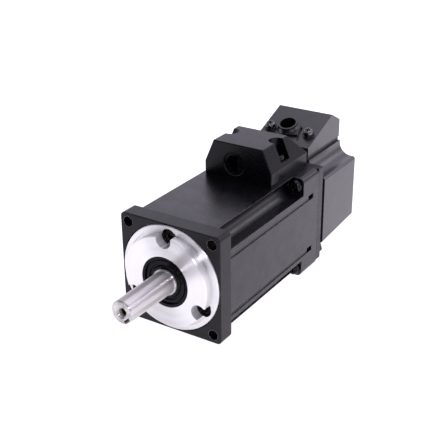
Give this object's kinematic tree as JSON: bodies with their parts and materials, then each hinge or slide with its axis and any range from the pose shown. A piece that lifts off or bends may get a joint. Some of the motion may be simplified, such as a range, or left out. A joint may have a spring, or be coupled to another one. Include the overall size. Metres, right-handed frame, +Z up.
{
  "type": "brushless servo motor",
  "caption": "Square-frame brushless servo motor with keyed output shaft, bright pilot, power cable box on the body and encoder cover with its own cable outlet at the rear.",
  "frame": {"origin": "centre of the flange's mounting face, on the shaft axis", "axes": "-Y along the shaft out of the motor, +Z up through the cable box, +X to the right seen from the shaft end"},
  "size_m": [0.06, 0.1915, 0.0806],
  "materials": {
    "black_paint": "satin",
    "machined_aluminium": "turned, bright",
    "ground_steel": "ground",
    "black_steel": "black oxide",
    "bearing_steel": "polished",
    "lamination_steel": "stacked sheets",
    "magnet": "nickel plated",
    "copper": "enamelled wire",
    "brass": "plain",
    "black_rubber": "matt",
    "white_plastic": "moulded",
    "dark_plastic": "moulded",
    "cage_plastic": "moulded",
    "board_green": "lacquered board",
    "disc_metal": "etched"
  },
  "bodies": {
    "motor_housing": {"front_flange": "black_paint", "pilot_hub": "machined_aluminium", "hub_screws": "black_steel", "shaft_seal": "black_rubber", "seal_spring": "bearing_steel", "front_bearing_outer_ring": "bearing_steel", "rear_bearing_outer_ring": "bearing_steel", "stator_housing": "black_paint", "stator_core": "lamination_steel", "end_insulators": "white_plastic", "stator_windings": "copper", "rear_end_bell": "black_paint", "preload_spring": "bearing_steel", "end_bell_screws": "black_steel", "encoder_board": "board_green", "encoder_standoffs": "brass", "board_screws": "bearing_steel", "board_connector": "white_plastic", "encoder_cover": "black_paint", "cover_gasket": "black_rubber", "cover_screws": "black_steel", "encoder_cap": "black_paint", "cap_gasket": "black_rubber", "encoder_outlet": "black_paint", "cap_screws": "black_steel", "cap_screw_washers": "black_steel", "terminal_box": "black_paint", "terminal_gasket": "black_rubber", "terminal_box_screws": "black_steel", "cable_bush": "black_rubber", "terminal_block": "dark_plastic", "terminal_studs": "brass"},
    "rotor": {"output_shaft": "ground_steel", "retaining_ring": "black_steel", "front_bearing_inner_ring": "bearing_steel", "rear_bearing_inner_ring": "bearing_steel", "rotor_core": "lamination_steel", "rotor_magnets": "magnet", "encoder_hub": "brass", "encoder_disc": "disc_metal"},
    "front_ball_cage": {"front_bearing_balls": "bearing_steel", "front_bearing_cage": "cage_plastic"},
    "rear_ball_cage": {"rear_bearing_balls": "bearing_steel", "rear_bearing_cage": "cage_plastic"}
  },
  "joints": [
    {"name": "shaft_spin", "type": "hinge", "parent": "motor_housing", "child": "rotor", "pos_m": [0, 0, 0], "axis": [0, -1, 0], "continuous": true},
    {"name": "front_cage_turn", "type": "hinge", "parent": "motor_housing", "child": "front_ball_cage", "pos_m": [0, 0.0127, 0], "axis": [0, -1, 0], "continuous": true},
    {"name": "rear_cage_turn", "type": "hinge", "parent": "motor_housing", "child": "rear_ball_cage", "pos_m": [0, 0.0978, 0], "axis": [0, -1, 0], "continuous": true}
  ],
  "couplings": [
    {"joint": "front_cage_turn", "follows": "shaft_spin", "ratio": 0.38},
    {"joint": "rear_cage_turn", "follows": "shaft_spin", "ratio": 0.36}
  ]
}
